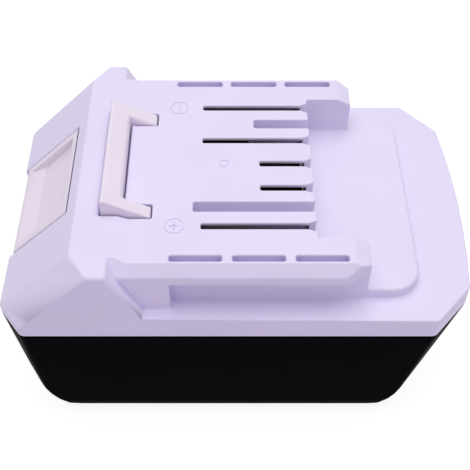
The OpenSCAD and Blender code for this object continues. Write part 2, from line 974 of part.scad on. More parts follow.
module release_latch() {
    plate_x = z_plate - z_slope - half_l + (wall + latch_gap) * slope_run;
    color(rosy) {
        button_form();
        hook_form();
        block(plate_x, plate_end, -plate_y, plate_y, z_plate_low, z_plate);
        for (y = [-spring_y, spring_y])
            translate([spring_x, y, z_plate_low - pin_length])
                cylinder(r = pin_r, h = pin_length + lap, $fn = round_fn);
    }
}

// Springs

coil_rings = 8;
coil_sides = 6;
coil_low = z_post + spring_wire / 2;
coil_high = z_plate_low - spring_wire / 2;
coil_count = coil_rings * spring_turns;
coil_rise = (coil_high - coil_low) / coil_count;

// Centre of the wire at ring k
function coil_at(k) =
    let (a = 360 * k / coil_rings)
    [spring_mean * cos(a), spring_mean * sin(a), coil_low + coil_rise * k];

// Point j of ring k of the wire
function coil_point(k, j) =
    let (a = 360 * k / coil_rings)
    let (b = 360 * j / coil_sides)
    let (out = spring_mean + spring_wire / 2 * cos(b))
    [out * cos(a), out * sin(a), coil_low + coil_rise * k + spring_wire / 2 * sin(b)];

// Least gap of the wire to itself, over rings that are half a turn or more apart
coil_gap = min([
    for (i = [0:coil_count])
        for (k = [i + coil_rings / 2:coil_count])
            norm(coil_at(i) - coil_at(k))
]) - spring_wire;
echo(coil_gap = coil_gap);

module coil(y) {
    points = [for (k = [0:coil_count]) for (j = [0:coil_sides - 1]) coil_point(k, j)];
    sides = [
        for (k = [0:coil_count - 1])
            for (j = [0:coil_sides - 1])
                let (n = (j + 1) % coil_sides)
                [k * coil_sides + j, (k + 1) * coil_sides + j, (k + 1) * coil_sides + n, k * coil_sides + n]
    ];
    low = [[for (j = [0:coil_sides - 1]) j]];
    high = [[for (j = [coil_sides - 1:-1:0]) coil_count * coil_sides + j]];
    color(steel)
        translate([spring_x, y, 0])
            polyhedron(points = points, faces = concat(sides, low, high), convexity = 8);
}

module latch_spring_front() {
    coil(-spring_y);
}

module latch_spring_rear() {
    coil(spring_y);
}

// Cells, holders and links

// End view of a holder with the radius r under the lower cells
module holder_plan(r) {
    x0 = column_x[0];
    x1 = column_x[columns - 1];
    e = r - end_thin;
    translate([x0 - e, lower_z])
        square([x1 - x0 + 2 * e, upper_z - lower_z]);
    translate([x0, lower_z - r])
        square([x1 - x0, holder_top - lower_z + r]);
    for (x = [x0, x1])
        translate([x, lower_z])
            circle(r = e, $fn = round_fn);
}

// Round bar along Y at the cell spot p, from y0 to y1
module bar(p, r, y0, y1) {
    translate([p.x, y1, p.y])
        rotate([90, 0, 0])
            cylinder(r = r, h = y1 - y0, $fn = round_fn);
}

module cell_holder() {
    y0 = holder_end - holder_depth;
    lip_y = cell_end + lip_play;
    color(holder_grey)
        difference() {
            union() {
                translate([0, holder_end - frame_length, 0])
                    rotate([90, 0, 0])
                        linear_extrude(holder_depth - frame_length) {
                            holder_plan(holder_r);
                            for (x = [column_x[0], column_x[columns - 1]])
                                translate([x, upper_z])
                                    intersection() {
                                        circle(r = holder_r - end_thin, $fn = round_fn);
                                        square([2 * holder_r, 2 * (holder_top - upper_z)], center = true);
                                    }
                        }
                translate([0, holder_end, 0])
                    rotate([90, 0, 0])
                        linear_extrude(frame_length + lap)
                            holder_plan(frame_r);
                translate([spring_x, spring_y, holder_top - lap]) {
                    cylinder(r = post_r, h = spring_seat + lap, $fn = round_fn);
                    cylinder(r = pin_r, h = spring_seat + pin_length + lap, $fn = round_fn);
                }
                for (p = board_screw_spots)
                    if (p.y > 0)
                        translate([p.x, p.y, holder_top - lap])
                            cylinder(r = board_post_r, h = board_rise + lap, $fn = round_fn);
            }
            for (p = cell_spots) {
                bar(p, bore_r, y0 - past, lip_y);
                bar(p, window_r, y0, holder_end + past);
            }
            for (p = board_screw_spots)
                if (p.y > 0)
                    translate([p.x, p.y, z_board - 5])
                        cylinder(r = board_screw_d / 2 + screw_play, h = 5 + past, $fn = round_fn);
        }
}

module cell_holder_front() {
    mirror([0, 1, 0])
        cell_holder();
}

module cell_holder_rear() {
    cell_holder();
}

// Cell n: the caps of the first, third and fifth column are at the front
module cell(n) {
    p = cell_spots[n - 1];
    column = ceil(n / 2);
    cap_at = column % 2 == 1 ? -1 : 1;
    top = cell_length;
    groove = 0.8;
    rim = cell_r - 0.45;
    cap_r = 3.4;
    seat_r = cell_r - 1.25;
    color(sleeve)
        translate([p.x, -cap_at * cell_end, p.y])
            rotate([-cap_at * 90, 0, 0])
                rotate_extrude($fn = round_fn)
                    polygon([
                        [0, 0],
                        [rim, 0],
                        [cell_r, 0.5],
                        [cell_r, top - 4],
                        [cell_r - groove, top - 3.5],
                        [cell_r - groove, top - 2.6],
                        [cell_r, top - 2.1],
                        [cell_r, top - 1.4],
                        [rim, top - 1],
                        [seat_r, top - 1],
                        [seat_r, top - 1.7],
                        [cap_r + 0.5, top - 1.7],
                        [cap_r, top],
                        [0, top]
                    ]);
}

module cell_1() {
    cell(1);
}

module cell_2() {
    cell(2);
}

module cell_3() {
    cell(3);
}

module cell_4() {
    cell(4);
}

module cell_5() {
    cell(5);
}

module cell_6() {
    cell(6);
}

module cell_7() {
    cell(7);
}

module cell_8() {
    cell(8);
}

module cell_9() {
    cell(9);
}

module cell_10() {
    cell(10);
}

module insulator_rings() {
    ring_t = 0.2;
    ring_y = cell_end - 1;
    color(paper)
        for (n = [0:2 * columns - 1])
            mirror([0, floor(n / 2) % 2 == 0 ? 1 : 0, 0])
                difference() {
                    bar(cell_spots[n], cell_r - 0.5, ring_y, ring_y + ring_t);
                    bar(cell_spots[n], 4.4, ring_y - past, ring_y + past);
                }
}

module dimple(p) {
    bar(p, dimple_r, cell_end, holder_end + link_t / 2);
}

// Upright bar of a link over both cells of column i
module link_bar(i) {
    x = column_x[i];
    block(x - link_half, x + link_half, holder_end, link_end, lower_z, upper_z);
    for (z = [lower_z, upper_z]) {
        bar([x, z], link_half, holder_end, link_end);
        dimple([x, z]);
    }
}

// Link from column i to the next one
module link(i) {
    web = 2.5;
    color(nickel) {
        link_bar(i);
        link_bar(i + 1);
        for (z = [lower_z, upper_z])
            block(column_x[i], column_x[i + 1], holder_end, link_end, z - web, z + web);
    }
}

module link_1_2() {
    mirror([0, 1, 0])
        link(0);
}

module link_2_3() {
    link(1);
}

module link_3_4() {
    mirror([0, 1, 0])
        link(2);
}

module link_4_5() {
    link(3);
}

// Tab from column i along the top of the holder to the edge of the board at x
module tab(i, x) {
    half = 3;
    strip = 4.5;
    p = column_x[i];
    z_top = holder_top + link_t;
    color(nickel) {
        link_bar(i);
        block(p - link_half, p + link_half, holder_end, link_end, upper_z, z_top);
        block(min(p, x) - half, max(p, x) + half, holder_end, link_end, holder_top - strip, z_top);
        block(x - half, x + half, board_y, link_end, holder_top, z_top);
        block(x - half, x + half, board_y, board_y + link_t, holder_top, z_board_top + 0.8);
    }
}

module positive_tab() {
    mirror([0, 1, 0])
        tab(columns - 1, board_x1 - 4);
}

module negative_tab() {
    tab(0, board_x0 + 4);
}

module insulator_sheet() {
    margin = 1;
    reach = link_half + margin;
    color(paper)
        block(
            column_x[0] - reach,
            column_x[columns - 1] + reach,
            link_end,
            sheet_end,
            lower_z - reach,
            holder_top - 0.3
        );
}

module insulator_sheet_front() {
    mirror([0, 1, 0])
        insulator_sheet();
}

module insulator_sheet_rear() {
    insulator_sheet();
}

// Board and contacts

// Solder legs of the contact s, grown by g for the holes
module contact_legs(s, z0, z1, g) {
    for (side = [-1, 1])
        block(
            s[1] + leg_start - g,
            s[1] + leg_end + g,
            s[0] + side * (fork_rear + contact_t / 2) - contact_t / 2 - g,
            s[0] + side * (fork_rear + contact_t / 2) + contact_t / 2 + g,
            z0,
            z1
        );
}

module circuit_board() {
    color(board_green)
        difference() {
            block(board_x0, board_x1, -board_y, board_y, z_board, z_board_top);
            for (p = board_screw_spots)
                translate([p.x, p.y, z_board - past])
                    cylinder(r = board_screw_d / 2 + leg_play, h = board_t + 2 * past, $fn = round_fn);
            for (s = contact_spots)
                contact_legs(s, z_board - past, z_board_top + past, leg_play);
        }
}

module controller_chip() {
    first = (chip_size - (pin_count - 1) * pin_pitch - pin_w) / 2;
    color(black)
        translate([parts_x - chip_size / 2, chip_y, z_board_top]) {
            cube([chip_size, chip_size, chip_t]);
            for (k = [0:pin_count - 1])
                translate([-pin_out, first + k * pin_pitch, 0])
                    cube([chip_size + 2 * pin_out, pin_w, pin_t]);
        }
}

module power_transistors() {
    color(black)
        both_sides()
            translate([parts_x - transistor_l / 2, transistor_y, z_board_top]) {
                cube([transistor_l, transistor_w, transistor_t]);
                translate([tab_inset, transistor_w - lap, 0])
                    cube([transistor_l - 2 * tab_inset, tab_out + lap, lead_t]);
                for (x = [lead_inset, transistor_l - lead_inset - lead_w])
                    translate([x, -lead_out, 0])
                        cube([lead_w, lead_out + lap, lead_t]);
            }
}

module shunt_resistor() {
    color(steel)
        translate([parts_x - shunt_l / 2, shunt_y, z_board_top])
            cube([shunt_l, shunt_w, shunt_t]);
}

module thermistor() {
    z_bead = upper_z + cell_r + bead_r + bead_gap;
    color(steel)
        translate([cells_x, 0, z_bead]) {
            sphere(r = bead_r, $fn = round_fn);
            for (y = [-bead_lead_y, bead_lead_y])
                translate([0, y, 0])
                    cylinder(r = bead_lead_r, h = z_board - z_bead, $fn = round_fn);
        }
}

module terminal_carrier() {
    color(holder_grey)
        difference() {
            block(long_x, board_x1, -carrier_y, carrier_y, z_board_top, z_board_top + carrier_t);
            for (s = contact_spots)
                block(
                    s[1] - fork_play,
                    s[1] + s[2] + fork_play,
                    s[0] - fork_y - fork_play,
                    s[0] + fork_y + fork_play,
                    z_board_top - past,
                    z_board_top + carrier_t + past
                );
            for (p = board_screw_spots)
                translate([p.x, p.y, z_board_top - past])
                    cylinder(r = screw_head_r + carrier_play, h = carrier_t + 2 * past, $fn = round_fn);
        }
}

// Fork contact: two leaves from a rear web, pinched before a flared mouth
module contact(s) {
    length = s[2];
    pinch_x = length * pinch_share;
    t = contact_t;
    color(copper) {
        translate([s[1], s[0], z_board_top])
            linear_extrude(contact_height) {
                translate([0, -fork_y])
                    square([t, 2 * fork_y]);
                both_sides()
                    polygon([
                        [0, fork_rear],
                        [pinch_x, fork_pinch],
                        [length, fork_mouth - t / 2],
                        [length, fork_mouth + t / 2],
                        [pinch_x, fork_pinch + t],
                        [0, fork_rear + t]
                    ]);
            }
        contact_legs(s, z_board - leg_drop, z_board_top + lap, 0);
    }
}

module positive_terminal() {
    contact(positive_spot);
}

module negative_terminal() {
    contact(negative_spot);
}

module charge_terminal() {
    contact(charge_spot);
}

module signal_terminal_1() {
    contact(signal_1_spot);
}

module signal_terminal_2() {
    contact(signal_2_spot);
}

// Screws

module board_screws() {
    color(steel)
        for (p = board_screw_spots)
            translate([p.x, p.y, z_board_top]) {
                cylinder(r = screw_head_r, h = head_t, $fn = round_fn);
                translate([0, 0, -board_t - thread_length])
                    cylinder(r = board_screw_d / 2, h = board_t + thread_length + lap, $fn = round_fn);
            }
}

lower_case();
upper_case();
release_latch();
latch_spring_front();
latch_spring_rear();
cell_holder_front();
cell_holder_rear();
cell_1();
cell_2();
cell_3();
cell_4();
cell_5();
cell_6();
cell_7();
cell_8();
cell_9();
cell_10();
insulator_rings();
link_1_2();
link_2_3();
link_3_4();
link_4_5();
positive_tab();
negative_tab();
insulator_sheet_front();
insulator_sheet_rear();
circuit_board();
controller_chip();
power_transistors();
shunt_resistor();
thermistor();
terminal_carrier();
positive_terminal();
negative_terminal();
charge_terminal();
signal_terminal_1();
signal_terminal_2();
board_screws();
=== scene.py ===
"""Power tool battery pack: looks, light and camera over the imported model."""
import json
import math

import bmesh
import bpy
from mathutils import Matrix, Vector
from mathutils.geometry import intersect_point_line

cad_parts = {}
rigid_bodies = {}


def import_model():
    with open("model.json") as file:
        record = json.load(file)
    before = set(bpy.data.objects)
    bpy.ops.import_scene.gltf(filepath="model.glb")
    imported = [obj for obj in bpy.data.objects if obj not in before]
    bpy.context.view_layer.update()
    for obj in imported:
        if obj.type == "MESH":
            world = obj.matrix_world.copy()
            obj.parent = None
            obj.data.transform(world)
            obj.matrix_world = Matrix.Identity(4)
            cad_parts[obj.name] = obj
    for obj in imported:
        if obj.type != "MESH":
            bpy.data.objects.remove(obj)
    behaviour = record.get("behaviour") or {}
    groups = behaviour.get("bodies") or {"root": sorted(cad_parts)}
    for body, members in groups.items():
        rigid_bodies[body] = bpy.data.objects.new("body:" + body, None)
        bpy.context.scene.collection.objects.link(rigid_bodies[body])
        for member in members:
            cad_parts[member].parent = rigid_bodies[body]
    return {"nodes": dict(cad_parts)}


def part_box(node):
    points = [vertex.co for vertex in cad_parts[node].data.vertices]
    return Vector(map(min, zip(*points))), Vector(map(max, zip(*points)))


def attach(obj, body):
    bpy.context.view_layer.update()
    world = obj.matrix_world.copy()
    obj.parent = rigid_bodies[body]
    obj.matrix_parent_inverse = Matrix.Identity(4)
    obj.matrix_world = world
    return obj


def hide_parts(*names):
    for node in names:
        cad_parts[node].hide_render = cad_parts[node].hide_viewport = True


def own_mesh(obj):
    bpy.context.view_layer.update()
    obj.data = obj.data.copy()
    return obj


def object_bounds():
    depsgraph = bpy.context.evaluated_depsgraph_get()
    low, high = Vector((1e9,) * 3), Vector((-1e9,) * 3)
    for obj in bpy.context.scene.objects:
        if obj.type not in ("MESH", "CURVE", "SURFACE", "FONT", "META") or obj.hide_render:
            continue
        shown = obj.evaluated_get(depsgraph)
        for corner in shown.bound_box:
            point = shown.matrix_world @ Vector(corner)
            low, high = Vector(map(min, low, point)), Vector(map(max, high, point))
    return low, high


for old in list(bpy.data.objects):
    bpy.data.objects.remove(old)

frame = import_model()
nodes = frame["nodes"]
cad_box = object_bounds()
scene = bpy.context.scene
MM = 0.001


# Camera, fitted to the photograph: straight on, looking down by 48.6 degrees
SENSOR_WIDTH = 36
LENS = 70.67
SHIFT_X, SHIFT_Y = 0.0209, -0.0125
CLIP_START = 0.01
CAMERA_PLACE = (-3.05, -163.18, 217.08)  # mm
CAMERA_TILT = 41.44  # degrees up from straight down

camera_data = bpy.data.cameras.new("camera")
camera_data.sensor_width = SENSOR_WIDTH
camera_data.lens = LENS
camera_data.shift_x = SHIFT_X
camera_data.shift_y = SHIFT_Y
camera_data.clip_start = CLIP_START
camera = bpy.data.objects.new("camera", camera_data)
camera.location = [distance * MM for distance in CAMERA_PLACE]
camera.rotation_euler = (math.radians(CAMERA_TILT), 0, 0)
scene.collection.objects.link(camera)
scene.camera = camera
scene.view_settings.view_transform = "Standard"


# Materials: every one is made of nodes that read the object's own coordinates, in metres
def linear(red, green, blue):
    """A colour given as 0 to 255 sRGB, in linear light by the sRGB curve."""
    def one(c):
        c = c / 255
        return c / 12.92 if c <= 0.04045 else ((c + 0.055) / 1.055) ** 2.4
    return (one(red), one(green), one(blue), 1)


class Paint:
    """A material under construction: its nodes, its links and its main shader."""

    # Sockets of the Mix node for colours, and of the Map Range node for its four limits
    MIX_SHARE, MIX_FIRST, MIX_SECOND, MIX_RESULT = 0, 6, 7, 2
    RANGE_LIMITS = slice(1, 5)

    def __init__(self, name):
        self.material = bpy.data.materials.new(name)
        self.material.use_nodes = True
        self.tree = self.material.node_tree
        self.shader = self.tree.nodes["Principled BSDF"]
        self.coords = self.tree.nodes.new("ShaderNodeTexCoord").outputs["Object"]

    def node(self, kind, **sockets):
        """A new node, with an underscore in a socket's name for a space."""
        made = self.tree.nodes.new("ShaderNode" + kind)
        for name, value in sockets.items():
            self.put(made.inputs[name.replace("_", " ")], value)
        return made

    def put(self, socket, value):
        """A link from another socket, or a plain value."""
        if isinstance(value, bpy.types.NodeSocket):
            self.tree.links.new(value, socket)
        else:
            socket.default_value = value

    def stretched(self, x, y, z):
        """The coordinates, stretched, for a grain with a direction."""
        return self.node("Mapping", Vector=self.coords, Scale=(x, y, z)).outputs["Vector"]

    def noise(self, scale, detail, vector=None):
        made = self.node("TexNoise", Vector=vector or self.coords, Scale=scale, Detail=detail)
        return made.outputs["Fac"]

    def ranged(self, value, low=0, high=1, start=0.3, end=0.7):
        """The value, with start to end brought to low to high."""
        made = self.node("MapRange", Value=value)
        limits = list(made.inputs)[self.RANGE_LIMITS]
        for socket, number in zip(limits, (start, end, low, high)):
            socket.default_value = number
        return made.outputs["Result"]

    def mixed(self, share, first, second):
        made = self.tree.nodes.new("ShaderNodeMix")
        made.data_type = "RGBA"
        self.put(made.inputs[self.MIX_SHARE], share)
        self.put(made.inputs[self.MIX_FIRST], first)
        self.put(made.inputs[self.MIX_SECOND], second)
        return made.outputs[self.MIX_RESULT]

    def maths(self, operation, first, second=0.0):
        made = self.tree.nodes.new("ShaderNodeMath")
        made.operation = operation
        self.put(made.inputs[0], first)
        self.put(made.inputs[1], second)
        return made.outputs[0]

    def axis(self, letter):
        return self.node("SeparateXYZ", Vector=self.coords).outputs[letter]

    def bump(self, height, strength, depth, under=None):
        made = self.node("Bump", Height=height, Strength=strength, Distance=depth)
        if under:
            self.put(made.inputs["Normal"], under)
        return made.outputs["Normal"]

    def set(self, **sockets):
        for name, value in sockets.items():
            self.put(self.shader.inputs[name.replace("_", " ")], value)


def tone(colour, share):
    """A colour made darker or lighter by a share of its light."""
    return tuple(min(c * share, 1) for c in colour[:3]) + (1,)


SPECK_SHARE = 0.16
RUBBED = linear(112, 104, 124)
# Painted shade in sharp corners and creases, by ambient occlusion: how far it looks, in metres, and
# the most of its colour that it lays on
PAINTED_SHADE_REACH = 0.002
PAINTED_SHADE_SHARE = 0.5


def moulded(name, colour, dark, rough, specular, grain=0.12, rub=0.0, painted_crease_shade=None):
    """Moulded plastic: clouded colour, spark-eroded grain, rubbed patches, and, where a colour is
    given, painted shade of that colour in sharp corners and creases."""
    paint = Paint(name)
    cloud = paint.ranged(paint.noise(scale=55, detail=4))
    speck = paint.ranged(paint.noise(scale=1900, detail=2), start=0.35, end=0.65)
    base = paint.mixed(cloud, tone(colour, dark), colour)
    specks = paint.maths("MULTIPLY", speck, SPECK_SHARE)
    fine = paint.mixed(specks, base, tone(colour, dark * dark))
    drawn = paint.noise(scale=420, detail=6, vector=paint.stretched(1, 0.25, 1))
    scuff = paint.ranged(drawn, start=0.5, end=0.72)
    if rub:
        fine = paint.mixed(paint.maths("MULTIPLY", scuff, rub), fine, RUBBED)
    # Painted shade: ambient occlusion lays the darker colour into corners and creases
    if painted_crease_shade:
        corner = paint.node("AmbientOcclusion", Distance=PAINTED_SHADE_REACH).outputs["AO"]
        depth = paint.ranged(corner, low=PAINTED_SHADE_SHARE, high=0, start=0.3, end=0.8)
        fine = paint.mixed(depth, fine, painted_crease_shade)
    paint.set(Base_Color=fine, Specular_IOR_Level=specular)
    uneven = paint.maths("ADD", cloud, scuff)
    paint.set(Roughness=paint.ranged(uneven, low=rough - 0.05, high=rough + 0.07, start=0, end=2))
    sheet = paint.bump(paint.noise(scale=140, detail=2), strength=0.05, depth=0.0004)
    fine_grain = paint.noise(scale=2600, detail=3)
    paint.set(Normal=paint.bump(fine_grain, strength=grain, depth=0.00012, under=sheet))
    return paint.material


def metal(name, colour, dull, rough, stretch=(1, 1, 1)):
    """Bare or plated metal: drawn streaks, dull patches and a fine uneven face."""
    paint = Paint(name)
    streak = paint.noise(scale=900, detail=4, vector=paint.stretched(*stretch))
    patch = paint.ranged(paint.noise(scale=160, detail=5), start=0.35, end=0.7)
    base = paint.mixed(patch, colour, dull)
    streaked = paint.mixed(paint.ranged(streak, high=0.25), base, tone(colour, share=0.75))
    paint.set(Base_Color=streaked, Metallic=1.0)
    uneven = paint.maths("ADD", streak, patch)
    paint.set(Roughness=paint.ranged(uneven, low=rough - 0.06, high=rough + 0.14,
                                     start=0.3, end=1.6))
    paint.set(Normal=paint.bump(streak, strength=0.1, depth=0.00006))
    return paint.material


def sleeve(name):
    """A cell: a shrunk sleeve with faint ribs along it, and the bare can at both ends."""
    paint = Paint(name)
    across = paint.maths("ABSOLUTE", paint.axis("Y"))
    bare = paint.ranged(across, start=0.0318, end=0.0320)
    wrinkle = paint.noise(scale=260, detail=4, vector=paint.stretched(3, 0.2, 3))
    film = paint.mixed(paint.ranged(wrinkle), linear(38, 116, 112), linear(58, 142, 136))
    cloud = paint.ranged(paint.noise(scale=700, detail=4))
    can = paint.mixed(cloud, linear(176, 174, 170), linear(206, 205, 202))
    paint.set(Base_Color=paint.mixed(bare, film, can), Metallic=bare)
    paint.set(Roughness=paint.ranged(wrinkle, low=0.26, high=0.4))
    paint.set(Normal=paint.bump(wrinkle, strength=0.15, depth=0.0001))
    return paint.material


def fibre_sheet(name):
    """Insulating paper: matted fibres and flecks."""
    paint = Paint(name)
    fibre = paint.noise(scale=1500, detail=6, vector=paint.stretched(0.3, 1, 1))
    fleck = paint.ranged(paint.noise(scale=3200, detail=2), start=0.62, end=0.7)
    base = paint.mixed(paint.ranged(fibre), linear(150, 156, 158), linear(186, 190, 188))
    flecks = paint.maths("MULTIPLY", fleck, 0.5)
    paint.set(Base_Color=paint.mixed(flecks, base, linear(98, 102, 104)))
    paint.set(Roughness=paint.ranged(fibre, low=0.72, high=0.9), Specular_IOR_Level=0.25)
    paint.set(Normal=paint.bump(fibre, strength=0.3, depth=0.0001))
    return paint.material


def board(name):
    """A circuit board: solder mask over a weave, with tracks that show lighter through it."""
    paint = Paint(name)
    weave = paint.noise(scale=5000, detail=2, vector=paint.stretched(1, 0.15, 1))
    track = paint.node("TexBrick", Vector=paint.coords, Scale=300.0, Mortar_Size=0.06,
                       Color1=linear(16, 84, 52), Color2=linear(20, 94, 58),
                       Mortar=linear(58, 138, 84))
    threads = paint.ranged(weave, high=0.35)
    base = paint.mixed(threads, track.outputs["Color"], linear(8, 52, 32))
    paint.set(Base_Color=base, Specular_IOR_Level=0.55)
    paint.set(Roughness=paint.ranged(weave, low=0.22, high=0.34))
    paint.set(Normal=paint.bump(track.outputs["Fac"], strength=0.25, depth=0.00005))
    return paint.material


MATERIALS = {
    # The cover gets a violet painted shade in its corners and creases
    "cover_lilac": moulded("cover_lilac_moulded", linear(228, 222, 245), dark=0.965, rough=0.46,
                           specular=0.34, painted_crease_shade=linear(182, 171, 226)),
    "latch_rose": moulded("latch_rose_moulded", linear(235, 226, 238), dark=0.97, rough=0.4,
                          specular=0.38, grain=0.09),
    "tray_black": moulded("tray_black_moulded", linear(3, 2, 5), dark=0.7, rough=0.6,
                          specular=0.01, grain=0.14, rub=0.004),
    "holder_grey": moulded("holder_grey_moulded", linear(32, 32, 36), dark=0.85, rough=0.52,
                           specular=0.3, grain=0.16, rub=0.05),
    "chip_black": moulded("chip_black_epoxy", linear(26, 26, 29), dark=0.8, rough=0.5,
                          specular=0.4, grain=0.2, rub=0.1),
    "spring_steel": metal("spring_steel_drawn", linear(178, 180, 186),
                          dull=linear(140, 141, 146), rough=0.28),
    "nickel": metal("nickel_strip", linear(204, 201, 192),
                    dull=linear(168, 164, 154), rough=0.3, stretch=(1, 8, 1)),
    "contact_copper": metal("contact_copper_strip", linear(212, 150, 104),
                            dull=linear(146, 92, 62), rough=0.32, stretch=(6, 1, 1)),
    "screw_steel": metal("screw_steel_plated", linear(190, 192, 196),
                         dull=linear(150, 150, 146), rough=0.3),
    "cell_sleeve": sleeve("cell_sleeve_film"),
    "fish_paper": fibre_sheet("fish_paper_fibre"),
    "board_green": board("board_green_mask"),
}
for piece in nodes.values():
    for place in piece.material_slots:
        slot_name = place.material.name.split(".")[0]
        place.material = MATERIALS[slot_name]


# Places on the cover, in mm: the tower is its highest face and the latch end its lowest X
COVER_LOW, COVER_HIGH = (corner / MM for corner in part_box("upper_case"))
TOWER_STEP = 1.0
RAIL_HEIGHT = 14.4
PAD_HEIGHT = 3.1
TOP = COVER_HIGH.z - TOWER_STEP
DECK = TOP - RAIL_HEIGHT
PAD = DECK + PAD_HEIGHT
DECK_RIM_Y = 30
PLATFORM_HALF = 24
BUTTON_EDGE_X = COVER_LOW.x + 16.2
POCKET_RIM_X = COVER_LOW.x + 15.0
BUTTON_HALF = 16
BUTTON_FOOT = 50
MARK_X = COVER_LOW.x + 42.35
MARK_Y = 20.65
GATE_X = COVER_LOW.x + 54.05


# Main mouldings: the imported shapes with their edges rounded. Lengths are in mm.
MERGE = 0.03
DEGENERATE = 0.01
COPLANAR_DEGREES = 0.6
SMALLEST_RADIUS = 0.03
WIDEST_RADIUS = 1.0
BEVEL_STEPS = 3
FACE_WEIGHT = 100
ROOM_SHARE = 0.42
ROOM_SAMPLES = (0.1, 0.3, 0.5, 0.7, 0.9)

# Cosines between directions: a gap beside an edge, an edge that turns off, one that goes
# straight on, and two edges that lead away from a corner as one run
BESIDE = 0.8
TURNS_OFF = 0.85
STRAIGHT = 0.9999
GOES_ON = -0.8

# Edge radii, and how near an edge lies to the place that it is taken to belong to
SHARP, CRISP, FINE, LIGHT, USUAL, SOFT, SOFTEST = 0, 0.1, 0.3, 0.4, 0.45, 0.8, 0.9
NEAR_FACE, NEAR_RIM, NEAR_BUTTON = 0.2, 0.3, 0.7


def linked(name, mesh, slot, body, shape_of=None):
    """A new piece in the scene, on its body, with the finish of its slot."""
    made = bpy.data.objects.new(name, mesh)
    scene.collection.objects.link(made)
    mesh.materials.clear()
    mesh.materials.append(MATERIALS[slot])
    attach(made, body)
    if shape_of:
        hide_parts(*shape_of)
    return made


def room(edge):
    """How far from an edge the next edge or corner of its two faces is, in mm."""
    first, second = (v.co for v in edge.verts)
    along = second - first
    ahead = along.normalized()
    least = math.inf
    for face in edge.link_faces:
        for other in face.edges:
            if other is edge or set(other.verts) & set(edge.verts):
                continue
            start, end = (v.co for v in other.verts)
            for share in ROOM_SAMPLES:
                point = first + along * share
                near, where = intersect_point_line(point, start, end)
                near = start if where < 0 else end if where > 1 else near
                gap = near - point
                if abs(gap.normalized().dot(ahead)) < BESIDE:
                    least = min(least, gap.length)
    for corner in edge.verts:
        for other in corner.link_edges:
            if other is edge or other.calc_length() == 0:
                continue
            turn = abs((other.verts[1].co - other.verts[0].co).normalized().dot(ahead))
            if turn < TURNS_OFF:
                least = min(least, other.calc_length())
            elif turn < STRAIGHT:
                least = min(least, along.length / math.tan(math.acos(turn) / 2))
    return least / MM


def away(edge, corner):
    """The direction in which an edge leads away from one of its corners."""
    return (edge.other_vert(corner).co - corner.co).normalized()


def runs(edges):
    """The edges in groups that go on without a sharp turn, each of which shares one radius."""
    left = set(edges)
    while left:
        run = [left.pop()]
        for edge in run:
            for corner in edge.verts:
                along = away(edge, corner)
                for other in corner.link_edges:
                    if other in left and along.dot(away(other, corner)) < GOES_ON:
                        left.remove(other)
                        run.append(other)
        yield run


def rounded(node, slot, body, radius, flattest=24):
    """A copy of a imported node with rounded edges: radius(middle of the edge) in mm, or less where
    there is no room. Edges that turn by less than flattest degrees stay as they are."""
    form = bmesh.new()
    form.from_mesh(nodes[node].data)
    bmesh.ops.remove_doubles(form, verts=form.verts, dist=MERGE * MM)
    bmesh.ops.dissolve_degenerate(form, dist=DEGENERATE * MM, edges=form.edges)
    bmesh.ops.dissolve_limit(form, angle_limit=math.radians(COPLANAR_DEGREES),
                             verts=form.verts, edges=form.edges)
    weight = form.edges.layers.float.new("bevel_weight_edge")
    for face in form.faces:
        face.smooth = True
    sizes = {}
    for edge in form.edges:
        if math.degrees(edge.calc_face_angle(0)) < flattest:
            continue
        middle = (edge.verts[0].co + edge.verts[1].co) / 2 / MM
        sizes[edge] = min(radius(middle), ROOM_SHARE * room(edge))
    for run in runs(sizes):
        size = min(sizes[edge] for edge in run)
        for edge in run:
            if size > SMALLEST_RADIUS:
                edge[weight] = min(size / WIDEST_RADIUS, 1)
            else:
                edge.smooth = False
    mesh = bpy.data.meshes.new(node + "_rounded")
    form.to_mesh(mesh)
    form.free()
    made = linked(node + "_rounded", mesh, slot, body, [node])
    bevel = made.modifiers.new("edges", "BEVEL")
    bevel.limit_method = "WEIGHT"
    bevel.width = WIDEST_RADIUS * MM
    bevel.segments = BEVEL_STEPS
    bevel.use_clamp_overlap = False
    bevel.loop_slide = False
    bevel.miter_outer = "MITER_ARC"
    normals = made.modifiers.new("normals", "WEIGHTED_NORMAL")
    normals.weight = FACE_WEIGHT
    normals.keep_sharp = True
    bpy.context.view_layer.update()
    evaluated = made.evaluated_get(bpy.context.evaluated_depsgraph_get())
    shaped = bpy.data.meshes.new_from_object(evaluated)
    made.modifiers.clear()
    made.data = shaped
    low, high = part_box(node)
    for vertex in shaped.vertices:
        for axis in range(3):
            vertex.co[axis] = min(max(vertex.co[axis], low[axis]), high[axis])


def cover_radius(middle):
    """Larger on the deck's rim, the pad and the tower, small on the platform and over the button."""
    beside_button = abs(middle.y) < BUTTON_HALF and middle.z > BUTTON_FOOT
    if beside_button and abs(middle.x - BUTTON_EDGE_X) < NEAR_BUTTON:
        return CRISP
    if abs(middle.z - DECK) < NEAR_FACE and abs(middle.y) > DECK_RIM_Y:
        return SOFTEST
    if abs(middle.z - PAD) < NEAR_FACE or middle.z > TOP + NEAR_FACE:
        return SOFT
    if abs(middle.z - TOP) < NEAR_FACE and abs(middle.y) < PLATFORM_HALF:
        return FINE
    return USUAL


def tray_radius(middle):
    """The same everywhere."""
    return LIGHT


def latch_radius(middle):
    """Larger on the hook, which stands over the cover, small on the button's upper edge and none
    on the upper rim of the finger pocket."""
    if middle.z > TOP + TOWER_STEP:
        return SOFTEST
    if middle.z > BUTTON_FOOT and abs(middle.y) < BUTTON_HALF:
        if abs(middle.x - POCKET_RIM_X) < NEAR_RIM:
            return SHARP
        if abs(middle.x - BUTTON_EDGE_X) < NEAR_BUTTON:
            return CRISP
    return LIGHT


rounded("upper_case", "cover_lilac", "pack", cover_radius)
rounded("lower_case", "tray_black", "pack", tray_radius)
rounded("release_latch", "latch_rose", "latch", latch_radius, flattest=10)


